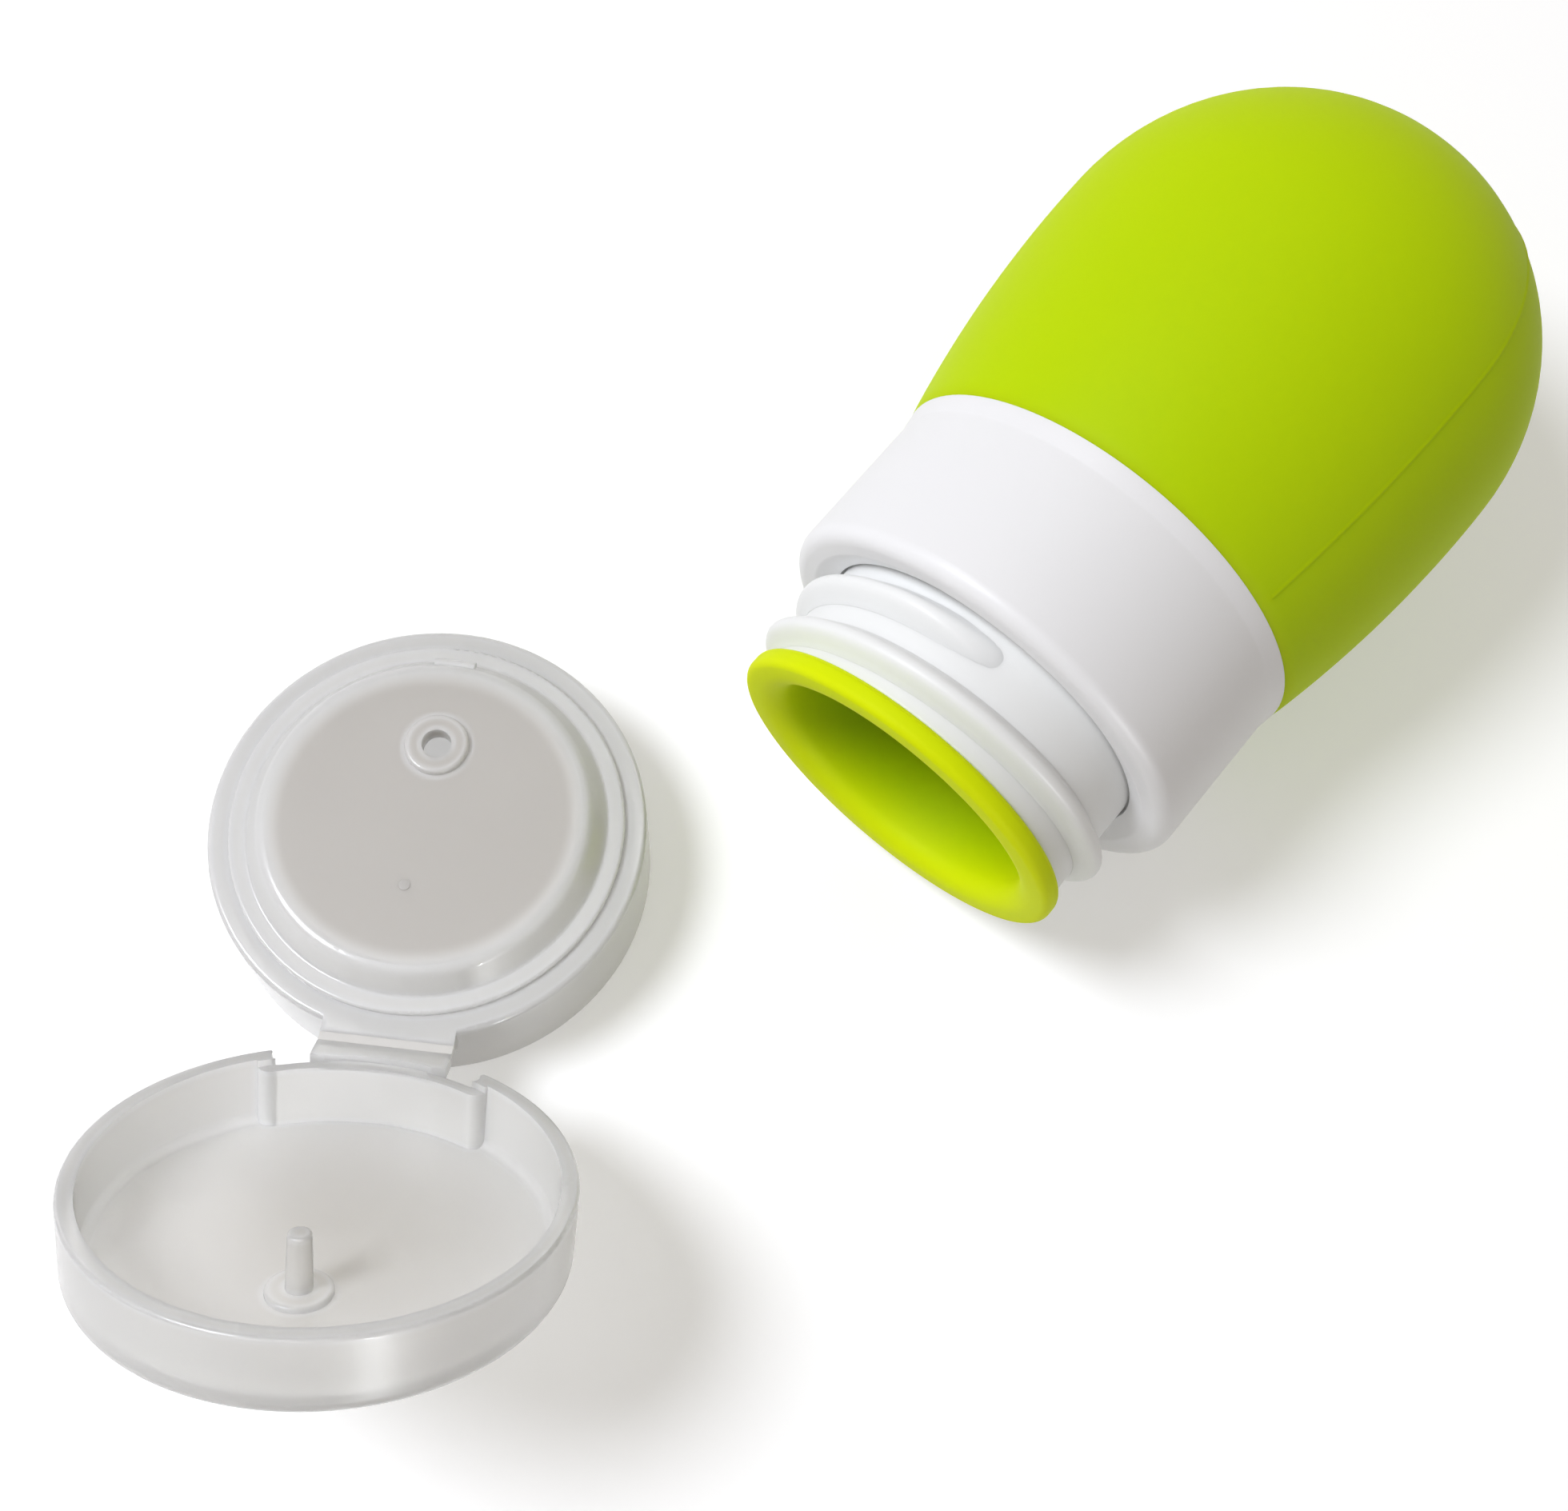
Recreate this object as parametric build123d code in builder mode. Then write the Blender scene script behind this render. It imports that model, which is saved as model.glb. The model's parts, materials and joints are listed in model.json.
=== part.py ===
from build123d import *
from math import acos, atan2, cos, degrees, hypot, pi, radians, sin, sqrt
import os

# Travel bottle with a squeezable silicone body, lying on its side, and its flip-top cap
# screwed off beside it. The cap stands on its open skirt with the lid swung back.
# Millimetres, +Z up, Z = 0 is the surface that both halves lie on, and +Y runs along the
# bottle from its mouth to its rounded end.

# Turned profiles are written as (radius, distance along the axis). Distances on the bottle
# start at the front of its lip, on the cap at the foot of its skirt, on the lid at its rim.

# Squeeze body, one piece of soft silicone: its lip, its sleeve inside the neck, its belly and
# its domed end
bottle_length = 80.8
lip_length = 2.1
lip_overhang = 0.8
lip_land = 0.3
sleeve_wall = 1.6
shoulder_length = 4.5
throat_length = 6.8
throat_round = 3.0
body_wall = 2.0
belly_swell = 3.2
belly_belt = 0.5

# Neck moulding, rigid, with a flange that the collar holds down
neck_r = 16.2
neck_length = 9.5
neck_wall = 1.4
neck_edge = 0.25
flange_reach = 2.7
flange_thickness = 1.6
fit_gap = 0.1

# Collar, a rigid band round the shoulder, dished in front round the neck
collar_length = 16.8
collar_wall = 1.6
collar_round = 1.4
collar_inner_round = 0.6
collar_dish = 0.8
collar_crest = 2.6
collar_flare = 1.8
collar_flare_out = 0.3
collar_gap = 0.4
neck_slot = 0.25

# Cap base, translucent, standing on its skirt. Its bore clears the neck's screw thread.
thread_depth = 1.8
thread_clearance = 0.6
skirt_wall = 1.4
ledge_height = 10.3
ledge_width = 2.0
ledge_round = 0.5
land_width = 1.6
land_height = 0.6
land_round = 0.25
deck_height = 2.3
deck_batter = 1.5
deck_round = 1.1
deck_wall = 1.1
spout_y = 6.8
spout_r = 1.35
boss_wall = 1.6
boss_height = 0.6
boss_round = 0.35
bead_r = 0.55
bead_length = 3.8
bead_at_angle = 90

# Flip lid, with a plug pin on a flared disc and a notch where it is hinged
lid_height = 7.0
lid_wall = 1.4
lid_top = 1.0
lid_draft = 0.15
lid_round = 1.3
lid_inner_round = 0.8
rim_round = 0.3
rim_gap = 0.3
notch_margin = 3.1
notch_depth = 1.8
notch_wall = 1.0
notch_edge_round = 0.45
notch_corner_round = 0.6
notch_inner_round = 1.2
pin_gap = 0.25
pin_taper = 0.15
pin_length = 5.5
pin_round = 0.3
pin_disc_wall = 1.55
pin_disc_height = 0.5
pin_disc_round = 0.3

# Living hinge, a thin strap moulded between the cap's lug and the lid's tongue
strap_half = 5.9
strap_thickness = 0.35
hinge_out = 0.6
lug_out = 0.2
lug_depth = 2.4
tongue_thickness = 1.2
lid_open_angle = 136

# Where the two halves lie, and how far past a face a cut runs
mouth_x, mouth_y = 14.0, -2.46
cap_x, cap_y = -18.4, -28.76
cap_turn_angle = 33.6
overrun = 1.0


# Radii and places that follow from these sizes
lip_r = neck_r + lip_overhang
lip_round = (lip_length - lip_land) / 2
sleeve_r = neck_r - neck_wall - fit_gap
mouth_r = sleeve_r - sleeve_wall
flange_r = neck_r + flange_reach
collar_inner_r = flange_r + collar_gap
collar_r = collar_inner_r + collar_wall
border_r = collar_r + collar_flare_out
belly_r = border_r + belly_swell
collar_at = lip_length + neck_length
flange_at = collar_at + collar_wall
flange_back = flange_at + flange_thickness
border_at = collar_at + collar_length
dome_at = bottle_length - belly_r
belly_at = dome_at - belly_belt

skirt_r = neck_r + thread_depth + thread_clearance
cap_r = skirt_r + skirt_wall
land_r = cap_r - ledge_width
land_top = ledge_height + land_height
foot_r = land_r - land_width
deck_r = foot_r - deck_batter
deck_top = land_top + deck_height
boss_r = spout_r + boss_wall
lid_bore_r = cap_r - lid_wall
lid_floor = lid_height - lid_top
notch_r = cap_r - notch_depth
notch_half = strap_half + notch_margin
pin_r = spout_r - pin_gap
pin_tip_r = pin_r - pin_taper
pin_disc_r = pin_r + pin_disc_wall

# The bottle rests on its belly and on the rounded front edge of its collar. In the profile
# plane both are circles, so the surface is their common tangent.
flank_rise = belly_r - border_r
flank_run = belly_at - border_at
flank_radius = (flank_run**2 + flank_rise**2) / (2 * flank_rise)
edge_s = collar_at + collar_round
edge_r = collar_r - collar_round
to_edge_s = edge_s - belly_at
to_edge_r = edge_r - (belly_r - flank_radius)
reach = hypot(to_edge_s, to_edge_r)
lying = atan2(to_edge_r, to_edge_s) - pi / 2 - acos((flank_radius - collar_round) / reach)
mouth_z = edge_r * cos(lying) - edge_s * sin(lying) + collar_round

bottle_seat = Plane(origin=(mouth_x, mouth_y, mouth_z), x_dir=(1, 0, 0), z_dir=(0, cos(lying), sin(lying)))

turn = radians(cap_turn_angle)
cap_seat = Plane(origin=(cap_x, cap_y, 0), x_dir=(cos(turn), sin(turn), 0), z_dir=(0, 0, 1))

# The hinge runs across the back of the cap, just outside its wall and level with the gap
# between its ledge and the closed lid.
hinge_y = cap_r + hinge_out
hinge_z = ledge_height + rim_gap / 2
hinge_point = cap_seat.from_local_coords((0, -hinge_y, hinge_z))
swing = radians(lid_open_angle)
open_dir = cap_seat.z_dir * cos(swing) - cap_seat.y_dir * sin(swing)
open_seat = Plane(origin=hinge_point, x_dir=cap_seat.x_dir, z_dir=open_dir)
rim_centre = open_seat.from_local_coords((0, hinge_y, rim_gap / 2))
lid_seat = Plane(origin=rim_centre, x_dir=open_seat.x_dir, z_dir=open_seat.z_dir)


def profile_plane(seat):
    """The plane through a seat's axis: x is the radius and y runs along the axis."""
    return Plane(origin=seat.origin, x_dir=seat.x_dir, z_dir=seat.x_dir.cross(seat.z_dir))


def spin_axis(seat):
    return Axis(seat.origin, seat.z_dir)


# Silicone body: a rolled lip, a sleeve inside the neck, a shoulder tucked into the collar,
# then the bare flank, the belly and the domed end
tuck_r = collar_inner_r - fit_gap
tuck_inner_r = tuck_r - sleeve_wall
shoulder_start_r = (sleeve_r + tuck_r) / 2
shoulder_end = flange_back + shoulder_length
throat_end = flange_back + throat_length
inner_flank_at = border_at + 2 * body_wall
inner_flank_r = belly_r - flank_radius + sqrt((flank_radius - body_wall) ** 2 - (belly_at - inner_flank_at) ** 2)

with BuildPart() as silicone_body:
    with BuildSketch(profile_plane(bottle_seat)):
        with BuildLine():
            Polyline(
                (0, 0),
                (lip_r, 0),
                (lip_r, lip_length),
                (sleeve_r, lip_length),
                (sleeve_r, flange_back),
                (shoulder_start_r, flange_back),
                (tuck_r, shoulder_end),
                (tuck_r, border_at),
                (border_r, border_at),
            )
            TangentArc((belly_r, belly_at), (border_r, border_at), tangent=(0, -1))
            Line((belly_r, belly_at), (belly_r, dome_at))
            dome = CenterArc((0, dome_at), belly_r, 0, 90)
            Line(dome @ 1, (0, 0))
        make_face()
    revolve(axis=spin_axis(bottle_seat))
    with BuildSketch(profile_plane(bottle_seat)):
        with BuildLine():
            FilletPolyline(
                (0, -overrun),
                (mouth_r, -overrun),
                (mouth_r, flange_back),
                (tuck_inner_r, throat_end),
                (tuck_inner_r, border_at),
                (inner_flank_r, inner_flank_at),
                radius=[0, throat_round, throat_round, throat_round],
            )
            TangentArc((belly_r - body_wall, belly_at), (inner_flank_r, inner_flank_at), tangent=(0, -1))
            Line((belly_r - body_wall, belly_at), (belly_r - body_wall, dome_at))
            inner_dome = CenterArc((0, dome_at), belly_r - body_wall, 0, 90)
            Line(inner_dome @ 1, (0, -overrun))
        make_face()
    revolve(axis=spin_axis(bottle_seat), mode=Mode.SUBTRACT)
    lip_edges = silicone_body.edges().filter_by(GeomType.CIRCLE).group_by(spin_axis(bottle_seat))
    fillet(lip_edges[0] + lip_edges[1].filter_by(lambda edge: edge.radius > neck_r), radius=lip_round)

# Neck moulding: a plain spout behind the lip and the flange at its root
with BuildPart() as threaded_neck:
    with BuildSketch(profile_plane(bottle_seat)):
        with BuildLine():
            FilletPolyline(
                (neck_r - neck_wall, lip_length),
                (neck_r, lip_length),
                (neck_r, flange_at),
                (flange_r, flange_at),
                (flange_r, flange_back),
                (neck_r - neck_wall, flange_back),
                radius=[0, neck_edge, neck_edge, neck_edge, neck_edge, 0],
                close=True,
            )
        make_face()
    revolve(axis=spin_axis(bottle_seat))

# Collar: its front wall holds the flange, and its rear edge meets the bare silicone flush
with BuildPart() as collar:
    with BuildSketch(profile_plane(bottle_seat)):
        with BuildLine():
            FilletPolyline(
                (neck_r + neck_slot, collar_at + collar_dish),
                (collar_r - collar_crest, collar_at),
                (collar_r, collar_at),
                (collar_r, border_at - collar_flare),
                (border_r, border_at),
                (collar_inner_r, border_at),
                (collar_inner_r, flange_at),
                (neck_r + neck_slot, flange_at),
                radius=[0, collar_inner_round, collar_round, collar_round, 0, 0, 0, 0],
                close=True,
            )
        make_face()
    revolve(axis=spin_axis(bottle_seat))

# Cap base: skirt, ledge for the lid's rim, low land that centres it, and the raised deck
with BuildPart() as cap_base:
    with BuildSketch(profile_plane(cap_seat)):
        with BuildLine():
            FilletPolyline(
                (0, 0),
                (cap_r, 0),
                (cap_r, ledge_height),
                (land_r, ledge_height),
                (land_r, land_top),
                (foot_r, land_top),
                (deck_r, deck_top),
                (0, deck_top),
                radius=[0, ledge_round, ledge_round, 0, land_round, land_round, deck_round, 0],
                close=True,
            )
        make_face()
    revolve(axis=spin_axis(cap_seat))
    # Lug that carries the strap
    with BuildSketch(cap_seat.offset(ledge_height - lug_depth)):
        with Locations((0, -(cap_r + lug_out))):
            Rectangle(2 * strap_half, skirt_wall + lug_out, align=(Align.CENTER, Align.MIN))
    extrude(amount=lug_depth)
    # Hollow: the skirt's bore and the recess under the raised deck
    with BuildSketch(profile_plane(cap_seat)):
        with BuildLine():
            Polyline(
                (0, -overrun),
                (skirt_r, -overrun),
                (skirt_r, land_top - deck_wall),
                (foot_r - deck_wall, land_top - deck_wall),
                (deck_r - deck_wall, deck_top - deck_wall),
                (0, deck_top - deck_wall),
                close=True,
            )
        make_face()
    revolve(axis=spin_axis(cap_seat), mode=Mode.SUBTRACT)
    # Spout: a low round boss with the orifice through it
    with BuildSketch(cap_seat.offset(deck_top)):
        with Locations((0, spout_y)):
            Circle(boss_r)
    boss = extrude(amount=boss_height)
    fillet(boss.edges().filter_by(GeomType.CIRCLE).sort_by(Axis.Z)[-1], radius=boss_round)
    with BuildSketch(cap_seat.offset(deck_top + boss_height + overrun)):
        with Locations((0, spout_y)):
            Circle(spout_r)
    extrude(amount=-(boss_height + deck_wall + 2 * overrun), mode=Mode.SUBTRACT)
    # Short bead on the front flank of the raised deck
    bead_at_r = (foot_r + deck_r) / 2
    bead_angle = degrees(bead_length / bead_at_r)
    bead_start = cap_seat.rotated((0, 0, bead_at_angle - bead_angle / 2))
    with BuildSketch(profile_plane(bead_start)):
        with Locations((bead_at_r, (land_top + deck_top) / 2)):
            Circle(bead_r)
    revolve(axis=spin_axis(cap_seat), revolution_arc=bead_angle)

# The room inside the lid: its bore, less the wall that goes round the hinge notch
with BuildPart() as lid_hollow:
    with BuildSketch(profile_plane(lid_seat)):
        with BuildLine():
            FilletPolyline(
                (0, -overrun),
                (lid_bore_r, -overrun),
                (lid_bore_r - lid_draft, lid_floor),
                (0, lid_floor),
                radius=[0, 0, lid_inner_round, 0],
                close=True,
            )
        make_face()
    revolve(axis=spin_axis(lid_seat))
    with BuildSketch(lid_seat.offset(-2 * overrun)) as hollow_plan:
        Circle(lid_bore_r + overrun)
        with Locations((0, -cap_r)):
            Rectangle(
                2 * (notch_half + notch_wall), cap_r, align=(Align.CENTER, Align.MIN), mode=Mode.SUBTRACT)
        Circle(notch_r - notch_wall)
        inner_corners = hollow_plan.vertices().filter_by(
            lambda corner: corner.Y < 0 and hypot(corner.X, corner.Y) < notch_r)
        fillet(inner_corners, radius=notch_inner_round)
    extrude(amount=lid_height + 2 * overrun, mode=Mode.INTERSECT)

# Flip lid: a shallow dish, upside down when closed, with its rim above the cap's ledge
with BuildPart() as flip_lid:
    with BuildSketch(profile_plane(lid_seat)):
        with BuildLine():
            FilletPolyline(
                (0, 0),
                (cap_r, 0),
                (cap_r - lid_draft, lid_height),
                (0, lid_height),
                radius=[0, rim_round, lid_round, 0],
                close=True,
            )
        make_face()
    revolve(axis=spin_axis(lid_seat))
    with BuildSketch(lid_seat.offset(-overrun)) as lid_plan:
        Circle(cap_r)
        with Locations((0, -cap_r - overrun)):
            Rectangle(2 * notch_half, cap_r + overrun, align=(Align.CENTER, Align.MIN), mode=Mode.SUBTRACT)
        Circle(notch_r)
        wall_corners = lid_plan.vertices().filter_by(
            lambda corner: corner.Y < 0 and hypot(corner.X, corner.Y) < notch_r + fit_gap)
        fillet(wall_corners, radius=notch_corner_round)
        edge_corners = lid_plan.vertices().filter_by(
            lambda corner: corner.Y < 0 and hypot(corner.X, corner.Y) > cap_r - fit_gap)
        fillet(edge_corners, radius=notch_edge_round)
    extrude(amount=lid_height + 2 * overrun, mode=Mode.INTERSECT)
    # Tongue that carries the strap
    with BuildSketch(lid_seat):
        with Locations((0, -(cap_r + lug_out))):
            Rectangle(2 * strap_half, notch_depth + notch_wall / 2 + lug_out, align=(Align.CENTER, Align.MIN))
    extrude(amount=tongue_thickness)
    add(lid_hollow.part, mode=Mode.SUBTRACT)
    # Inside the rim the lid stands clear of the cap's land
    with BuildSketch(lid_seat.offset(-overrun)):
        Circle(land_r + rim_gap)
    extrude(amount=overrun + land_height, mode=Mode.SUBTRACT)
    # Plug pin on its disc
    with BuildSketch(lid_seat.offset(lid_floor)):
        with Locations((0, spout_y)):
            Circle(pin_disc_r)
    disc = extrude(amount=-pin_disc_height)
    fillet(disc.edges().filter_by(GeomType.CIRCLE).sort_by(spin_axis(lid_seat))[0], radius=pin_disc_round)
    with BuildSketch(lid_seat.offset(lid_floor)):
        with Locations((0, spout_y)):
            Circle(pin_r)
    with BuildSketch(lid_seat.offset(lid_floor - pin_length)):
        with Locations((0, spout_y)):
            Circle(pin_tip_r)
    pin = loft()
    fillet(pin.edges().filter_by(GeomType.CIRCLE).sort_by(spin_axis(lid_seat))[0], radius=pin_round)


def swung_back(u, v):
    """A point of the closed lid near the hinge, measured from the hinge's axis, once the lid is open."""
    return (u * cos(swing) - v * sin(swing), u * sin(swing) + v * cos(swing))


# Living hinge: a thin strap from the top of the lug to the underside edge of the tongue
lug_u = hinge_out - lug_out
hinge_section = Plane(origin=hinge_point, x_dir=cap_seat.y_dir, z_dir=cap_seat.x_dir)
with BuildPart() as hinge_strap:
    with BuildSketch(hinge_section):
        with BuildLine():
            Polyline(
                (lug_u, -rim_gap / 2),
                (lug_u, -rim_gap / 2 - strap_thickness),
                swung_back(lug_u, rim_gap / 2 + strap_thickness),
                swung_back(lug_u, rim_gap / 2),
                close=True,
            )
        make_face()
    extrude(amount=strap_half, both=True)

silicone_body.part.label = "silicone_body"
threaded_neck.part.label = "threaded_neck"
collar.part.label = "collar"
cap_base.part.label = "cap_base"
flip_lid.part.label = "flip_lid"
hinge_strap.part.label = "hinge_strap"

os.makedirs("parts", exist_ok=True)
export_step(silicone_body.part, "parts/silicone_body.step")
export_step(threaded_neck.part, "parts/threaded_neck.step")
export_step(collar.part, "parts/collar.step")
export_step(cap_base.part, "parts/cap_base.step")
export_step(flip_lid.part, "parts/flip_lid.step")
export_step(hinge_strap.part, "parts/hinge_strap.step")
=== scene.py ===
# %% [markdown]
# # A squeezable travel bottle and its flip-top cap
# The real thing is a soft silicone bottle whose stiff white collar and threaded neck let a milky
# plastic cap screw on. Here the bottle lies on its side with the cap taken off beside it. The
# cap stands on its skirt with its lid swung back on a living hinge.
#
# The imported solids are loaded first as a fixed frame, in metres. Stiff mouldings keep their own
# meshes and get a better finish. The soft body, the screw threads, the hinge's film and the gate
# mark are modelled here, because they need soft shapes or fine detail that solids leave out.

# %% Load the frame
import json
from math import atan2, cos, degrees, hypot, pi, radians, sin, sqrt

import bpy
from mathutils import Matrix, Vector


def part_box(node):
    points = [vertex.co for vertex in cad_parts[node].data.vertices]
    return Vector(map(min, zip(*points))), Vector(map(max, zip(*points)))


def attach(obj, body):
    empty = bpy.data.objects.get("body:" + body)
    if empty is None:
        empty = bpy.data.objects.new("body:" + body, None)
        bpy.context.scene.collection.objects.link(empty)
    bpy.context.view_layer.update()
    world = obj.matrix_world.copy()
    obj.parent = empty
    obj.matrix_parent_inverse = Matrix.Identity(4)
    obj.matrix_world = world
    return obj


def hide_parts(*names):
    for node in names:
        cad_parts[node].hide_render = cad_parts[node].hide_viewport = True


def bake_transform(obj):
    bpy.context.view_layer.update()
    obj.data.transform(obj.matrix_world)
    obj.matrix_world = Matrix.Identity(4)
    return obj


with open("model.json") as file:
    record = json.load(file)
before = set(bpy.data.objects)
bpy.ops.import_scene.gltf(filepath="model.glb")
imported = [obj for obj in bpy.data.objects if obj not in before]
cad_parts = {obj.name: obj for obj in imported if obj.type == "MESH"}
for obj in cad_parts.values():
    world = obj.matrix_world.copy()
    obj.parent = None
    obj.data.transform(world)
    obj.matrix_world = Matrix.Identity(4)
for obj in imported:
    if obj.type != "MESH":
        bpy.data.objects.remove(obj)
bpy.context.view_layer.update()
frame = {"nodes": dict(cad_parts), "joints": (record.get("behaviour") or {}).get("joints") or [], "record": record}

mm = 0.001

# %% [markdown]
# ## Places that the frame gives
# The record's mounts and joints say where things are. The bottle's own axis starts at the
# front of its lip and runs into the bottle. The cap's axis starts at the foot of its skirt.
# A piece is modelled upright at the origin, where its numbers are easy to read, and then laid
# down on its axis.

# %% Axes of the bottle, the cap and the hinge
mounts = {mount["name"]: mount for mount in frame["record"]["mounts"]}
joints = {joint["name"]: joint for joint in frame["joints"]}

mouth_mount_depth = 8.0 * mm
into_bottle = -Vector(mounts["mouth"]["axis"]).normalized()
lip_centre = Vector(mounts["mouth"]["pos_m"]) - into_bottle * mouth_mount_depth

cap_foot = Vector(mounts["cap_bore"]["pos_m"])
cap_foot.z = 0.0
hinge_point = Vector(joints["lid_flip"]["pos_m"])
to_hinge = (hinge_point - cap_foot).to_2d().normalized()
cap_turn = atan2(to_hinge.x, -to_hinge.y)


def seat_matrix(origin, along, sideways):
    """Places an upright piece: its Z goes along an axis and its X goes sideways."""
    z = along.normalized()
    x = (sideways - z * sideways.dot(z)).normalized()
    y = z.cross(x)
    return Matrix.Translation(origin) @ Matrix((x, y, z)).transposed().to_4x4()


bottle_seat = seat_matrix(lip_centre, into_bottle, Vector((1, 0, 0)))
cap_across = Vector((cos(cap_turn), sin(cap_turn), 0))
cap_seat = seat_matrix(cap_foot, Vector((0, 0, 1)), cap_across)
hinge_seat = seat_matrix(hinge_point, Vector((0, 0, 1)), cap_across)
print("bottle tilt:", round(degrees(atan2(into_bottle.z, into_bottle.y)), 2), "degrees")

# %% [markdown]
# ## Small tools for modelling by hand
# Each helper does what a modeller does with a few clicks: deselect, select the points that pass a
# test, pull a ring of points along an axis, and lay the finished piece on its seat.

# %% Selecting and placing
merge_distance = 0.001 * mm


def deselect_all():
    if bpy.context.object and bpy.context.object.mode != "OBJECT":
        bpy.ops.object.mode_set(mode="OBJECT")
    bpy.ops.object.select_all(action="DESELECT")


def select_points(piece, wanted):
    """In edit mode, selects the points that pass a test, and counts them."""
    bpy.ops.mesh.select_mode(type="VERT")
    bpy.ops.mesh.select_all(action="DESELECT")
    bpy.ops.object.mode_set(mode="OBJECT")
    chosen = 0
    for point in piece.data.vertices:
        point.select = wanted(point)
        chosen += point.select
    bpy.ops.object.mode_set(mode="EDIT")
    return chosen


def lay_on(piece, seat):
    """Moves an upright piece to its seat and puts that place into its mesh."""
    deselect_all()
    piece.select_set(True)
    bpy.context.view_layer.objects.active = piece
    piece.matrix_world = seat @ piece.matrix_world
    bpy.ops.object.transform_apply(location=True, rotation=True, scale=True)
    piece.select_set(False)


def close_up(piece):
    """Merges points that lie on each other, turns all faces outwards and leaves edit mode."""
    bpy.ops.mesh.select_all(action="SELECT")
    bpy.ops.mesh.remove_doubles(threshold=merge_distance)
    bpy.ops.mesh.normals_make_consistent(inside=False)
    bpy.ops.object.mode_set(mode="OBJECT")
    print(piece.name, "has", len(piece.data.vertices), "points and", len(piece.data.polygons), "faces")


def pull_rings(start, stations):
    """Extrudes the selected ring through (radius, height) stations, like turning on a lathe."""
    radius, height = start
    for next_radius, next_height in stations:
        step = {"value": (0, 0, next_height - height)}
        bpy.ops.mesh.extrude_region_move(TRANSFORM_OT_translate=step)
        grown = next_radius / radius
        centre = (0, 0, next_height)
        bpy.ops.transform.resize(value=(grown, grown, 1), center_override=centre)
        radius, height = next_radius, next_height


def arc_stations(centre, radius, start_angle, end_angle, count):
    """Stations along an arc of the profile, without its first point."""
    turns = [start_angle + (end_angle - start_angle) * i / count for i in range(1, count + 1)]
    return [(centre[0] + radius * cos(a), centre[1] + radius * sin(a)) for a in turns]

# %% [markdown]
# ## The squeeze body
# The body is one piece of soft silicone. It starts at a rolled lip, runs down inside the stiff
# neck as a sleeve, swells under the collar, and then shows as a bare flank, a belly and a domed
# end. A turned shape like this could be spun from a drawn outline. Here a ring is pulled from
# station to station instead, first over the outside and then down the inside, because each
# station is then a radius and a distance that can be measured on a real bottle.

# %% Sizes of the squeeze body
body_low, body_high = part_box("silicone_body")
belly_radius = (body_high.x - body_low.x) / 2
body_points = [point.co - lip_centre for point in frame["nodes"]["silicone_body"].data.vertices]
body_length = max(point.dot(into_bottle) for point in body_points)

ring_sides = 128
corner_steps = 4
bead_steps = 6
mouth_steps = 7
outer_flank_rings, outer_dome_rings = 22, 26
inner_flank_rings, inner_dome_rings = 10, 14
pole_ring_share = 0.4
lip_crest_radius = 15.3 * mm
lip_crest_fall = 0.02 * mm
lip_radius = 17.0 * mm
lip_length = 2.1 * mm
lip_front_round = 0.75 * mm
mouth_radius = 13.1 * mm
mouth_round = 2.0 * mm
sleeve_radius = 14.7 * mm
sleeve_end = 14.8 * mm
tuck_start_radius = 16.95 * mm
tuck_radius = 19.2 * mm
tuck_start = 19.3 * mm
border_radius = 21.2 * mm
border_at = 28.4 * mm
border_round = 0.25 * mm
body_wall = 2.0 * mm
swell_end = 21.6 * mm
swell_radius = 17.6 * mm
corner_reach = 1.8 * mm
dome_at = body_length - belly_radius
belly_at = dome_at - 0.5 * mm
flank_rise = belly_radius - border_radius
flank_run = belly_at - border_at
flank_radius = (flank_run**2 + flank_rise**2) / (2 * flank_rise)
print("belly", round(2 * belly_radius / mm, 1), "mm across, body", round(body_length / mm, 1), "mm long")


# %% Stations of its profile
def flank_radius_at(height, inset):
    """The flank's radius at a height, drawn in by a wall if need be."""
    drop = sqrt((flank_radius - inset) ** 2 - (belly_at - height) ** 2)
    return belly_radius - flank_radius + drop


def flank_stations(inset, start, count):
    """The swelling flank from a start height to the belly."""
    heights = [start + (belly_at - start) * i / count for i in range(1, count + 1)]
    return [(flank_radius_at(height, inset), height) for height in heights]


def dome_stations(radius, count):
    """The round end, up to a small ring that is then merged at the pole."""
    last = pi / 2 * (1 - pole_ring_share / count)
    return [(radius, dome_at)] + arc_stations((0, dome_at), radius, 0, last, count)


def rounded_corners(corners, reach, steps):
    """Replaces each inner corner of a line by a curve that starts and ends a reach away from it."""
    points = [Vector(corner) for corner in corners]
    stations = []
    for before, corner, after in zip(points, points[1:], points[2:]):
        start = corner + (before - corner).normalized() * reach
        end = corner + (after - corner).normalized() * reach
        for i in range(steps + 1):
            share = i / steps
            stations.append(start.lerp(corner, share).lerp(corner.lerp(end, share), share))
    return stations


def rolled_lip():
    """From the lip's crest over its outer bead to the step where it meets the neck."""
    centre_radius = lip_radius - lip_front_round
    back_height = lip_length - lip_front_round
    front = arc_stations(
        (centre_radius, lip_front_round), lip_front_round, -pi / 2, 0, bead_steps)
    back = arc_stations((centre_radius, back_height), lip_front_round, 0, pi / 2, bead_steps)
    return [(centre_radius, lip_crest_fall)] + front + [(lip_radius, back_height)] + back


def mouth_inside():
    """From the lip's crest over its inner edge, down the throat and out along the inner flank."""
    edge_centre = (mouth_radius + mouth_round, mouth_round)
    edge = arc_stations(edge_centre, mouth_round, -pi / 2, -pi, mouth_steps)
    inner_flank_at = border_at + 2 * body_wall
    inner_flank = flank_stations(body_wall, inner_flank_at, inner_flank_rings)
    corners = [
        edge[-1], (mouth_radius, sleeve_end), (swell_radius, swell_end), (swell_radius, border_at),
        (flank_radius_at(inner_flank_at, body_wall), inner_flank_at), inner_flank[0]]
    throat = rounded_corners(corners, corner_reach, corner_steps)
    return [(mouth_radius + mouth_round, 0.0)] + edge + throat + inner_flank


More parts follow.
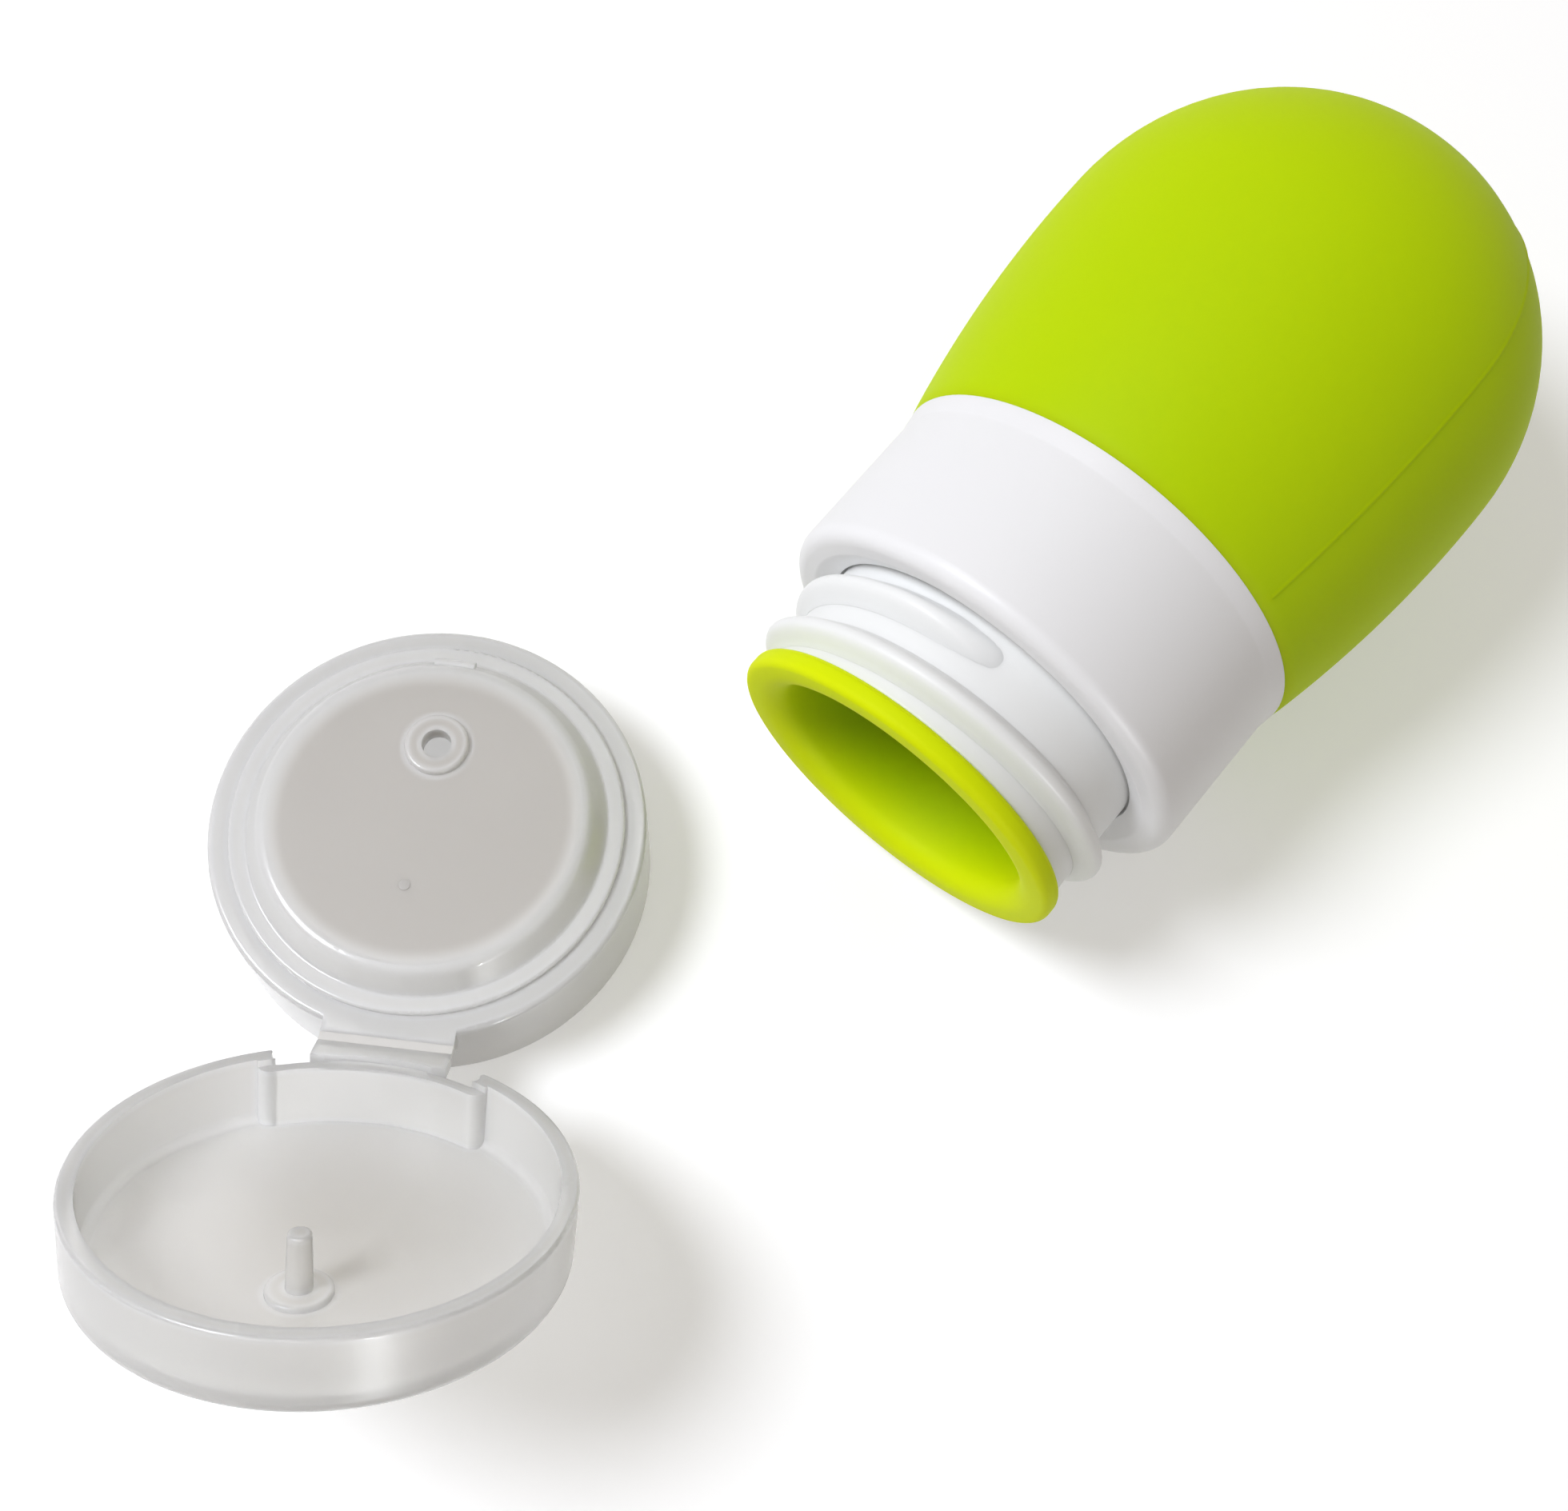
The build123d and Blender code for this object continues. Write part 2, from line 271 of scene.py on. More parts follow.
# %% Model the squeeze body
def model_squeeze_body():
    deselect_all()
    bpy.ops.mesh.primitive_circle_add(vertices=ring_sides, radius=lip_crest_radius)
    body = bpy.context.object
    body.name = body.data.name = "squeeze_body"
    bpy.ops.object.mode_set(mode="EDIT")
    bpy.ops.mesh.select_all(action="SELECT")
    hidden = [
        (sleeve_radius, lip_length), (sleeve_radius, sleeve_end), (tuck_start_radius, sleeve_end),
        (tuck_radius, tuck_start), (tuck_radius, border_at - border_round)]
    bare_from = border_at + border_round / 2
    shoulder = [
        (border_radius - border_round, border_at - border_round / 4), (border_radius, bare_from)]
    flank = flank_stations(0, bare_from, outer_flank_rings)
    dome = dome_stations(belly_radius, outer_dome_rings)
    pull_rings((lip_crest_radius, 0), rolled_lip() + hidden + shoulder + flank + dome)
    bpy.ops.mesh.merge(type="CENTER")
    select_points(body, lambda point: point.index < ring_sides)
    inner_dome = dome_stations(belly_radius - body_wall, inner_dome_rings)
    pull_rings((lip_crest_radius, 0), mouth_inside() + inner_dome)
    bpy.ops.mesh.merge(type="CENTER")
    close_up(body)
    bpy.ops.object.shade_smooth()
    return body


squeeze_body = model_squeeze_body()

# %% [markdown]
# ## The mould's parting line
# Silicone is pressed in a mould of two halves, and a fine raised line is left where they meet.
# It runs along both sides of the body. The two lengthwise rows of edges that lie in the
# mould's plane are bevelled into a narrow strip, and the strip's middle is pushed out by about a
# tenth of a millimetre, so that light catches it. The strip has four columns, and its outer
# two stay level, so that the wall beside the line keeps its smooth shading. A bump in the material
# would be quicker, but the mesh would not have it.

# %% Raise the parting line
parting_angle = radians(-41)
parting_half_width = 0.32 * mm
parting_height = 0.12 * mm
parting_columns = 4
clear_of_collar = 0.6 * mm
clear_of_pole = 2.0 * mm
off_plane_limit = 0.02 * mm


def parting_points(point):
    """Points of the bare outside that lie in the mould's plane."""
    x, y, height = point.co
    radius = hypot(x, y)
    if height < border_at + clear_of_collar or height > body_length - clear_of_pole:
        return False
    outer = border_radius
    if height > dome_at:
        outer = sqrt(max(belly_radius**2 - (height - dome_at) ** 2, 0))
    if radius < outer - body_wall / 2:
        return False
    return abs(x * sin(parting_angle) - y * cos(parting_angle)) < off_plane_limit


def raise_parting_line(body):
    bpy.context.view_layer.objects.active = body
    bpy.ops.object.mode_set(mode="EDIT")
    found = select_points(body, parting_points)
    bpy.ops.mesh.bevel(offset=parting_half_width, segments=parting_columns,
                       affect="EDGES", clamp_overlap=True)
    select_points(body, parting_points)
    bpy.ops.transform.shrink_fatten(value=parting_height)
    bpy.ops.object.mode_set(mode="OBJECT")
    print("parting line:", found, "points raised by", round(parting_height / mm, 2), "mm")


# The rings start at angle zero, so the body is turned to bring its rows to the mould's plane
squeeze_body.rotation_euler.z = parting_angle
bpy.ops.object.transform_apply(location=False, rotation=True, scale=False)
raise_parting_line(squeeze_body)
lay_on(squeeze_body, bottle_seat)

# %% [markdown]
# ## The screw threads
# A single raised ridge winds round the neck, and another winds inside the cap and grips it.
# Both are right-handed. A ridge could be cut with curves and booleans. Here its section is drawn
# once on a thin strip whose edge is raised into a bell, the Screw modifier winds it, and its two
# ends are eased down into the wall, as a mould maker does so that the cap starts to turn smoothly.

# %% Sizes of the threads
thread_pitch = 5.0 * mm
ridge_steps_per_turn = 90
neck_radius = 16.2 * mm
neck_crest_radius = 17.8 * mm
neck_thread_start = 3.55 * mm
neck_thread_from = radians(-198)
neck_thread_to = radians(286)
cap_bore_radius = mounts["cap_bore"]["dims"]["r_mm"] * mm
cap_crest_radius = 17.1 * mm
cap_thread_start = 2.4 * mm
cap_thread_from = radians(20)
cap_thread_to = radians(452)
ridge_sunk = 0.12 * mm
ridge_half_width = 1.55 * mm
ridge_columns = 14
ridge_strip_share = 0.2
ridge_bell_power = 1.4
ridge_end_share = 0.03
same_height = 0.01 * mm
run_out = radians(38)


# %% Wind a ridge
def draw_ridge_section(name, foot_radius, crest_radius):
    """A strip in the X-Z plane whose outer edge is raised into a bell, outlined without a face."""
    deselect_all()
    bpy.ops.mesh.primitive_grid_add(x_subdivisions=1, y_subdivisions=ridge_columns, size=1)
    ridge = bpy.context.object
    ridge.name = ridge.data.name = name
    ridge.rotation_euler.x = pi / 2
    bpy.ops.object.transform_apply(location=False, rotation=True, scale=False)
    bpy.ops.object.mode_set(mode="EDIT")
    depth = crest_radius - foot_radius
    outward = 1 if depth > 0 else -1
    bpy.ops.transform.resize(
        value=(ridge_strip_share * abs(depth), 1, 2 * ridge_half_width))
    bpy.ops.transform.translate(value=(foot_radius, 0, 0))
    for column in range(ridge_columns + 1):
        height = ridge_half_width * (2 * column / ridge_columns - 1)
        raised = depth * (1 + cos(pi * abs(height / ridge_half_width) ** ridge_bell_power)) / 2
        select_points(ridge, lambda point: abs(point.co.z - height) < same_height
                      and outward * (point.co.x - foot_radius) > 0)
        bpy.ops.transform.translate(value=(raised, 0, 0))
    bpy.ops.mesh.select_all(action="SELECT")
    bpy.ops.mesh.dissolve_faces()
    bpy.ops.mesh.select_all(action="SELECT")
    bpy.ops.mesh.delete(type="ONLY_FACE")
    bpy.ops.object.mode_set(mode="OBJECT")
    return ridge


def wind(ridge, start_angle, end_angle):
    """Turns the section round the axis while it climbs by the pitch."""
    section_points = len(ridge.data.vertices)
    turn = end_angle - start_angle
    steps = round(ridge_steps_per_turn * turn / (2 * pi))
    screw = ridge.modifiers.new("winding", "SCREW")
    screw.angle, screw.screw_offset = turn, thread_pitch * turn / (2 * pi)
    screw.steps = screw.render_steps = steps
    screw.use_merge_vertices = False
    bpy.ops.object.modifier_apply(modifier=screw.name)
    print(ridge.name, "winds", round(turn / (2 * pi), 2), "turns in", steps, "steps")
    return section_points, steps


def ease_ends(ridge, section_points, steps, eased, foot_radius):
    """Lets the ridge sink smoothly into the wall over the last few steps at both ends."""
    for i in range(eased):
        share = i / eased
        kept = max(ridge_end_share, share * share * (3 - 2 * share))
        for ring in (i, steps - i):
            for point in ridge.data.vertices[ring * section_points:(ring + 1) * section_points]:
                across = Vector((point.co.x, point.co.y))
                lowered = foot_radius + (across.length - foot_radius) * kept
                point.co.xy = across.normalized() * lowered


def model_ridge(name, wall_radius, crest_radius, start_angle, end_angle, start_height, seat):
    """A ridge whose crest stands out from a wall, or in from it, and whose foot is sunk in it."""
    outward = 1 if crest_radius > wall_radius else -1
    foot_radius = wall_radius - outward * ridge_sunk
    ridge = draw_ridge_section(name, foot_radius, crest_radius)
    section_points, steps = wind(ridge, start_angle, end_angle)
    eased = round(steps * run_out / (end_angle - start_angle))
    ease_ends(ridge, section_points, steps, eased, foot_radius)
    bpy.ops.object.mode_set(mode="EDIT")
    for ring in (0, steps):
        ends = range(ring * section_points, (ring + 1) * section_points)
        select_points(ridge, lambda point: point.index in ends)
        bpy.ops.mesh.edge_face_add()
    close_up(ridge)
    bpy.ops.object.shade_smooth_by_angle(angle=radians(50))
    ridge.rotation_euler.z = start_angle
    ridge.location.z = start_height
    lay_on(ridge, seat)
    return ridge


neck_thread = model_ridge("neck_thread", neck_radius, neck_crest_radius,
                          neck_thread_from, neck_thread_to, neck_thread_start, bottle_seat)
cap_thread = model_ridge("cap_thread", cap_bore_radius, cap_crest_radius,
                         cap_thread_from, cap_thread_to, cap_thread_start, cap_seat)

# %% [markdown]
# ## The hinge's film
# The cap and its lid are one moulding, and the film between them is thin enough to bend many
# thousand times. Two bodies meet here, so the film is its own piece: a flat plane, divided
# across the fold, leaned so that it reaches from the cap's lug to the lid's tongue, and thickened.

# %% Model the film
film_half_width = 5.9 * mm
film_thickness = 0.34 * mm
film_sunk = 0.25 * mm
film_columns, film_rows = 24, 10
film_from_axis, film_from_seam = 0.4 * mm, 0.32 * mm
lug_edge = Vector((0, film_from_axis, -film_from_seam))
lid_open = radians(joints["lid_flip"]["range_deg"][1])
shut_tongue_edge = Vector((0, film_from_axis, film_from_seam))
tongue_edge = Matrix.Rotation(lid_open, 3, "X") @ shut_tongue_edge


def model_film():
    deselect_all()
    bpy.ops.mesh.primitive_grid_add(x_subdivisions=film_columns, y_subdivisions=film_rows, size=1)
    film = bpy.context.object
    film.name = film.data.name = "hinge_film"
    across = tongue_edge - lug_edge
    reach = across.length + 2 * film_sunk
    bpy.ops.object.mode_set(mode="EDIT")
    bpy.ops.transform.resize(value=(2 * film_half_width, reach, 1))
    lean = -atan2(across.z, across.y)
    bpy.ops.transform.rotate(value=lean, orient_axis="X", center_override=(0, 0, 0))
    bpy.ops.object.mode_set(mode="OBJECT")
    film.location = (lug_edge + tongue_edge) / 2
    bpy.ops.object.transform_apply(location=True, rotation=True, scale=True)
    thickness = film.modifiers.new("thickness", "SOLIDIFY")
    thickness.thickness, thickness.offset = film_thickness, 0
    bpy.ops.object.modifier_apply(modifier=thickness.name)
    bpy.ops.object.mode_set(mode="EDIT")
    close_up(film)
    bpy.ops.object.shade_smooth_by_angle(angle=radians(40))
    lay_on(film, hinge_seat)
    return film


hinge_film = model_film()

# %% [markdown]
# ## The gate mark
# Molten plastic enters the mould through one small gate, and a nub the size of a pinhead stays on
# the cap's deck where it was cut off. It is a low round button whose top edge is drawn in. It could
# be cut into the deck's own mesh, but a separate button leaves that mesh as the solids have it.

# %% Model the gate mark
gate_across, gate_along = -0.5 * mm, -6.9 * mm
gate_radius, gate_height = 0.5 * mm, 0.06 * mm
gate_edge_share = 0.3
gate_sides = 32
boss_height = 0.6 * mm
deck_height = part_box("cap_base")[1].z - boss_height


def model_gate_mark():
    deselect_all()
    bpy.ops.mesh.primitive_circle_add(vertices=gate_sides, radius=gate_radius, fill_type="NGON")
    mark = bpy.context.object
    mark.name = mark.data.name = "gate_mark"
    bpy.ops.object.mode_set(mode="EDIT")
    bpy.ops.mesh.select_all(action="SELECT")
    bpy.ops.mesh.extrude_region_move(TRANSFORM_OT_translate={"value": (0, 0, gate_height)})
    bpy.ops.mesh.inset(thickness=gate_radius * gate_edge_share, depth=gate_height * gate_edge_share)
    close_up(mark)
    bpy.ops.object.shade_smooth_by_angle(angle=radians(35))
    mark.location = (gate_across, gate_along, deck_height - gate_height * gate_edge_share)
    lay_on(mark, cap_seat)
    return mark


gate_mark = model_gate_mark()

# %% [markdown]
# ## Shared finish: moulded grain
# Every piece here came out of a mould, and a mould's steel is never perfectly even. One node group
# gives two patterns that all the plastics share: a fine grain, for tiny bumps, and slow clouds,
# for a slight change of colour and gloss. Each material sets its own sizes. Pictures of plastic
# could do the same, but noise has no seams and needs no file.

# %% Build the grain group
# Noise seldom leaves this range, although it may reach from 0 to 1
pattern_low, pattern_high = 0.3, 0.7


def build_grain_group():
    group = bpy.data.node_groups.new("moulded_grain", "ShaderNodeTree")
    sockets = group.interface
    sockets.new_socket("Grain scale", in_out="INPUT", socket_type="NodeSocketFloat")
    sockets.new_socket("Cloud scale", in_out="INPUT", socket_type="NodeSocketFloat")
    sockets.new_socket("Grain", in_out="OUTPUT", socket_type="NodeSocketFloat")
    sockets.new_socket("Clouds", in_out="OUTPUT", socket_type="NodeSocketFloat")
    nodes, links = group.nodes, group.links
    entry, leave = nodes.new("NodeGroupInput"), nodes.new("NodeGroupOutput")
    place = nodes.new("ShaderNodeTexCoord")
    for output, scale, detail in (("Grain", "Grain scale", 3.0), ("Clouds", "Cloud scale", 2.0)):
        noise = nodes.new("ShaderNodeTexNoise")
        noise.inputs["Detail"].default_value = detail
        links.new(place.outputs["Object"], noise.inputs["Vector"])
        links.new(entry.outputs[scale], noise.inputs["Scale"])
        links.new(noise.outputs["Fac"], leave.inputs[output])
    return group


moulded_grain = build_grain_group()
print("sockets of the shared grain group:", list(moulded_grain.interface.items_tree.keys()))


def start_material(name, grain_scale, cloud_scale):
    """A material with the grain group and a Principled shader, not yet joined."""
    material = bpy.data.materials.new(name)
    material.use_nodes = True
    nodes, links = material.node_tree.nodes, material.node_tree.links
    grain = nodes.new("ShaderNodeGroup")
    grain.node_tree = moulded_grain
    grain.inputs["Grain scale"].default_value = grain_scale
    grain.inputs["Cloud scale"].default_value = cloud_scale
    return material, nodes, links, grain, nodes["Principled BSDF"]


def vary(nodes, links, source, low, high, target):
    """Spreads a pattern over a range of values, and feeds it to a socket."""
    spread = nodes.new("ShaderNodeMapRange")
    spread.inputs["From Min"].default_value = pattern_low
    spread.inputs["From Max"].default_value = pattern_high
    spread.inputs["To Min"].default_value, spread.inputs["To Max"].default_value = low, high
    links.new(source, spread.inputs["Value"])
    links.new(spread.outputs["Result"], target)


def vary_colour(nodes, links, source, first, second):
    """Mixes two colours by a pattern. The first may be another mix's output.

    A Mix node set to colours has its factor at input 0, its colours at 6 and 7, and its result
    at output 2.
    """
    mix = nodes.new("ShaderNodeMix")
    mix.data_type = "RGBA"
    first_colour, second_colour = mix.inputs[6], mix.inputs[7]
    if isinstance(first, tuple):
        first_colour.default_value = (*first, 1)
    else:
        links.new(first, first_colour)
    second_colour.default_value = (*second, 1)
    links.new(source, mix.inputs[0])
    return mix.outputs[2]


def bump_from(nodes, links, height, distance, strength, shader):
    bump = nodes.new("ShaderNodeBump")
    bump.inputs["Distance"].default_value = distance
    bump.inputs["Strength"].default_value = strength
    links.new(height, bump.inputs["Height"])
    links.new(bump.outputs["Normal"], shader.inputs["Normal"])


# %% [markdown]
# ## Silicone
# The body is dyed right through, so its colour is deep and even, and a little light travels
# inside it. That is why the thin lip glows more yellow than the thick belly; this glow is painted
# into the base colour near the lip, as a lighter, yellower tone. Its skin is satin:
# it has a broad soft shine and no sharp reflections. A volume shader would follow the light most
# truly, but subsurface scattering gives the same look in far less time.

# %% Silicone material
# How far into the mouth the painted lip glow reaches.
painted_lip_glow_depth = 6 * mm


def painted_lip_glow_mask(nodes, links):
    """Is 1 at the front of the lip and falls to 0 inside the mouth, and places the painted lip glow."""
    place = nodes.new("ShaderNodeTexCoord")
    depth = nodes.new("ShaderNodeVectorMath")
    depth.operation = "DOT_PRODUCT"
    depth.inputs[1].default_value = into_bottle
    fade = nodes.new("ShaderNodeMapRange")
    fade.interpolation_type = "SMOOTHSTEP"
    start = lip_centre.dot(into_bottle)
    fade.inputs["From Min"].default_value = start
    fade.inputs["From Max"].default_value = start + painted_lip_glow_depth
    fade.inputs["To Min"].default_value, fade.inputs["To Max"].default_value = 1.0, 0.0
    links.new(place.outputs["Object"], depth.inputs[0])
    links.new(depth.outputs["Value"], fade.inputs["Value"])
    return fade.outputs["Result"]


def silicone_material():
    material, nodes, links, grain, shader = start_material(
        "lime_silicone", grain_scale=2600, cloud_scale=34)
    even = vary_colour(nodes, links, grain.outputs["Clouds"], (0.51, 0.715, 0.0), (0.54, 0.74, 0.0))
    # Painted glow: near the lip the base colour turns lighter and yellower, in place of light that passes through
    # the thin silicone.
    glow = vary_colour(nodes, links, painted_lip_glow_mask(nodes, links), even, (0.71, 0.86, 0.0))
    links.new(glow, shader.inputs["Base Color"])
    vary(nodes, links, grain.outputs["Clouds"], 0.56, 0.64, shader.inputs["Roughness"])
    bump_from(nodes, links, grain.outputs["Grain"], 0.03 * mm, 0.35, shader)
    shader.inputs["IOR"].default_value = 1.41
    shader.inputs["Specular IOR Level"].default_value = 0.12
    shader.inputs["Subsurface Weight"].default_value = 0.7
    shader.inputs["Subsurface Radius"].default_value = (1.0, 1.0, 0.2)
    shader.inputs["Subsurface Scale"].default_value = 3.0 * mm
    shader.inputs["Sheen Weight"].default_value = 0.01
    shader.inputs["Sheen Roughness"].default_value = 0.4
    return material


# %% [markdown]
# ## White polypropylene
# The collar is opaque white. The neck is the same plastic with less pigment, and it lets
# a little cool light through. Both have the faint grain of a spark-eroded mould. The cap's film and
# gate mark are too small for the milky finish that follows, so they get this one in a greyer tone.

# %% White plastics
def white_plastic(name, first, second, translucence):
    material, nodes, links, grain, shader = start_material(name, grain_scale=3000, cloud_scale=60)
    links.new(vary_colour(nodes, links, grain.outputs["Clouds"], first, second),
              shader.inputs["Base Color"])
    vary(nodes, links, grain.outputs["Clouds"], 0.38, 0.46, shader.inputs["Roughness"])
    bump_from(nodes, links, grain.outputs["Grain"], 0.02 * mm, 0.3, shader)
    shader.inputs["IOR"].default_value = 1.49
    shader.inputs["Subsurface Weight"].default_value = translucence
    shader.inputs["Subsurface Radius"].default_value = (1.0, 1.0, 1.0)
    shader.inputs["Subsurface Scale"].default_value = 1.5 * mm
    return material


# %% [markdown]
# ## Milky polypropylene
# The cap is the same plastic without pigment. Light passes through it but is scattered on the
# way, so that what is behind looks blurred, while its moulded skin stays glossy. Rough
# transmission gives the blur, and a clear coat on top gives the sharp highlights. Two masks paint
# light and shade into the base colour, in the tones that the photograph shows: a painted glow makes
# edges the brightest, in place of light that travels in a wall and comes out there, and painted
# shade makes the thin middle of the deck and of the lid a little darker and warmer, in place of
# the light that comes back less from it.

# %% Milky plastic
# Reach and sharpness of the mask for the painted edge glow.
edge_reach = 1.0 * mm
edge_samples = 6
edge_agreement = 0.965


def painted_edge_glow_mask(nodes, links):
    """Is 1 along edges and fillets, where a painted glow stands in for light that travels in the wall and comes
    out there.
    """
    rounded = nodes.new("ShaderNodeBevel")
    rounded.samples = edge_samples
    rounded.inputs["Radius"].default_value = edge_reach
    surface = nodes.new("ShaderNodeNewGeometry")
    agreement = nodes.new("ShaderNodeVectorMath")
    agreement.operation = "DOT_PRODUCT"
    links.new(rounded.outputs["Normal"], agreement.inputs[0])
    links.new(surface.outputs["Normal"], agreement.inputs[1])
    spread = nodes.new("ShaderNodeMapRange")
    spread.inputs["From Min"].default_value = 1.0
    spread.inputs["From Max"].default_value = edge_agreement
    spread.inputs["To Min"].default_value, spread.inputs["To Max"].default_value = 0.0, 1.0
    links.new(agreement.outputs["Value"], spread.inputs["Value"])
    return spread.outputs["Result"]


def mask_round(nodes, links, centre, inner, outer):
    """Is 1 within the inner distance of a point and falls to 0 at the outer one."""
    place = nodes.new("ShaderNodeTexCoord")
    away = nodes.new("ShaderNodeVectorMath")
    away.operation = "DISTANCE"
    away.inputs[1].default_value = centre
    fade = nodes.new("ShaderNodeMapRange")
    fade.interpolation_type = "SMOOTHSTEP"
    fade.inputs["From Min"].default_value, fade.inputs["From Max"].default_value = inner, outer
    fade.inputs["To Min"].default_value, fade.inputs["To Max"].default_value = 1.0, 0.0
    links.new(place.outputs["Object"], away.inputs[0])
    links.new(away.outputs["Value"], fade.inputs["Value"])
    return fade.outputs["Result"]


def milky_plastic(name, clearness, painted_shade_centre, painted_shade_inner, painted_shade_outer, painted_shade_colour):
    material, nodes, links, grain, shader = start_material(name, grain_scale=1800, cloud_scale=80)
    even = vary_colour(
        nodes, links, grain.outputs["Clouds"], (0.915, 0.905, 0.885), (0.94, 0.93, 0.91))
    # Painted shade: the middle of the deck or of the lid gets a darker, warmer base colour.
    panel = mask_round(nodes, links, painted_shade_centre, painted_shade_inner, painted_shade_outer)
    shaded = vary_colour(nodes, links, panel, even, painted_shade_colour)
    # Painted glow: edges and fillets get a near-white base colour.
    painted_edge_glow = vary_colour(nodes, links, painted_edge_glow_mask(nodes, links), shaded, (0.995, 0.995, 1.0))
    links.new(painted_edge_glow, shader.inputs["Base Color"])
    vary(nodes, links, grain.outputs["Clouds"], 0.32, 0.38, shader.inputs["Roughness"])
    bump_from(nodes, links, grain.outputs["Grain"], 0.01 * mm, 0.2, shader)
    shader.inputs["IOR"].default_value = 1.49
    shader.inputs["Transmission Weight"].default_value = clearness
    shader.inputs["Subsurface Weight"].default_value = 0.9
    shader.inputs["Subsurface Radius"].default_value = (1.0, 1.0, 1.0)
    shader.inputs["Subsurface Scale"].default_value = 1.0 * mm
    shader.inputs["Coat Weight"].default_value = 0.6
    shader.inputs["Coat Roughness"].default_value = 0.06
    return material


# %% [markdown]
# ## A finish for each piece, and a body for all but the film
# The stiff mouldings keep their own meshes, and only their material changes. Each piece modelled
# here gets its finish, and all but the film get a body to move with; the film stays where it was laid.

# %% Make the materials
silicone = silicone_material()
collar_white = white_plastic(
    "white_collar", (0.90, 0.90, 0.91), (0.925, 0.925, 0.93), translucence=0.12)
neck_white = white_plastic(
    "white_neck", (0.885, 0.895, 0.885), (0.91, 0.92, 0.91), translucence=0.4)
gate_white = white_plastic(
    "milky_gate", (0.57, 0.55, 0.525), (0.60, 0.58, 0.555), translucence=0.3)
film_white = white_plastic(
    "milky_film", (0.78, 0.765, 0.74), (0.81, 0.795, 0.77), translucence=0.2)

deck_centre = cap_foot + Vector((0, 0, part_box("cap_base")[1].z))
lid_low, lid_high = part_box("flip_lid")
lid_middle = (lid_low + lid_high) / 2
print("middle of the lid's panel in mm:", [round(v / mm, 2) for v in lid_middle])
# The two middle colours are painted shade, in the middle of the cap's deck and of the lid.
milky_cap = milky_plastic(
    "milky_cap", clearness=0.4, painted_shade_centre=deck_centre,
    painted_shade_inner=12.6 * mm, painted_shade_outer=14.3 * mm, painted_shade_colour=(0.73, 0.705, 0.67))
milky_lid = milky_plastic(
    "milky_lid", clearness=0.58, painted_shade_centre=lid_middle,
    painted_shade_inner=3.0 * mm, painted_shade_outer=19.0 * mm, painted_shade_colour=(0.85, 0.832, 0.80))
finishes = (silicone, collar_white, neck_white, gate_white, film_white, milky_cap, milky_lid)
print("finishes:", [finish.name for finish in finishes])


# %% Dress the pieces and let them ride
def dress(piece, material):
    piece.data.materials.clear()
    piece.data.materials.append(material)


for node, material in (("collar", collar_white), ("threaded_neck", neck_white),
                       ("cap_base", milky_cap), ("flip_lid", milky_lid)):
    cad_piece = frame["nodes"][node]
    for slot in cad_piece.material_slots:
        slot.material = material
    print(node, "has", len(cad_piece.material_slots), "material slots")

for piece, material, slot_name in (
    (squeeze_body, silicone, "silicone_green"), (neck_thread, neck_white, "neck_white"),
    (cap_thread, milky_cap, "cap_translucent"), (gate_mark, gate_white, "cap_translucent"),
    (hinge_film, film_white, "cap_translucent")):
    dress(piece, material)

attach(squeeze_body, "bottle")
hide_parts("silicone_body")
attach(neck_thread, "bottle")
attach(cap_thread, "cap")
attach(gate_mark, "cap")
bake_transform(hinge_film)
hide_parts("hinge_strap")

# %% [markdown]
# ## Floor, light and camera
# The floor is a wide pale sheet. It is white to the camera because it adds a little of its own
# light for camera, glossy and transmission rays only, so that it keeps the soft shadow and puts no
# more light on the bottle. Far from the object, where the lamp's light runs out, it adds more.
# A large cool lamp hangs high over the left of the picture. The world gives weak, warm light from
# everywhere, which tints the shaded sides as in the photograph, and is white where it is seen. A
# narrow lamp low on the right puts nothing but a soft streak on the glossy cap.

# %% Floor
floor_size = 6
floor_lift = 0.36
far_glow = (2.3, 2.35, 2.5)
lit_radius, dim_radius = 0.15, 0.8


def seen_rays(nodes, links):
    """Is 1 for rays from the camera, and for those that a surface mirrors or lets through."""
    path = nodes.new("ShaderNodeLightPath")
    result = path.outputs["Is Camera Ray"]
    for kind in ("Is Glossy Ray", "Is Transmission Ray"):
        either = nodes.new("ShaderNodeMath")
        either.operation = "MAXIMUM"
        links.new(result, either.inputs[0])
        links.new(path.outputs[kind], either.inputs[1])
        result = either.outputs[0]
    return result


def floor_material():
    material = bpy.data.materials.new("pale_floor")
    material.use_nodes = True
    nodes, links = material.node_tree.nodes, material.node_tree.links
    shader = nodes["Principled BSDF"]
    shader.inputs["Base Color"].default_value = (0.8, 0.8, 0.8, 1)
    shader.inputs["Roughness"].default_value = 0.9
    shader.inputs["Specular IOR Level"].default_value = 0.0
    glow, whiten = nodes.new("ShaderNodeEmission"), nodes.new("ShaderNodeAddShader")
    near = mask_round(nodes, links, (0, 0, 0), lit_radius, dim_radius)
    links.new(vary_colour(nodes, links, near, far_glow, (1, 1, 1)), glow.inputs["Color"])
    lift = nodes.new("ShaderNodeMath")
    lift.operation = "MULTIPLY"
    lift.inputs[1].default_value = floor_lift
    links.new(seen_rays(nodes, links), lift.inputs[0])
    links.new(lift.outputs[0], glow.inputs["Strength"])
    links.new(shader.outputs[0], whiten.inputs[0])
    links.new(glow.outputs[0], whiten.inputs[1])
    links.new(whiten.outputs[0], nodes["Material Output"].inputs["Surface"])
    return material


deselect_all()
bpy.ops.mesh.primitive_plane_add(size=floor_size)
floor = bpy.context.object
floor.name = "floor"
dress(floor, floor_material())


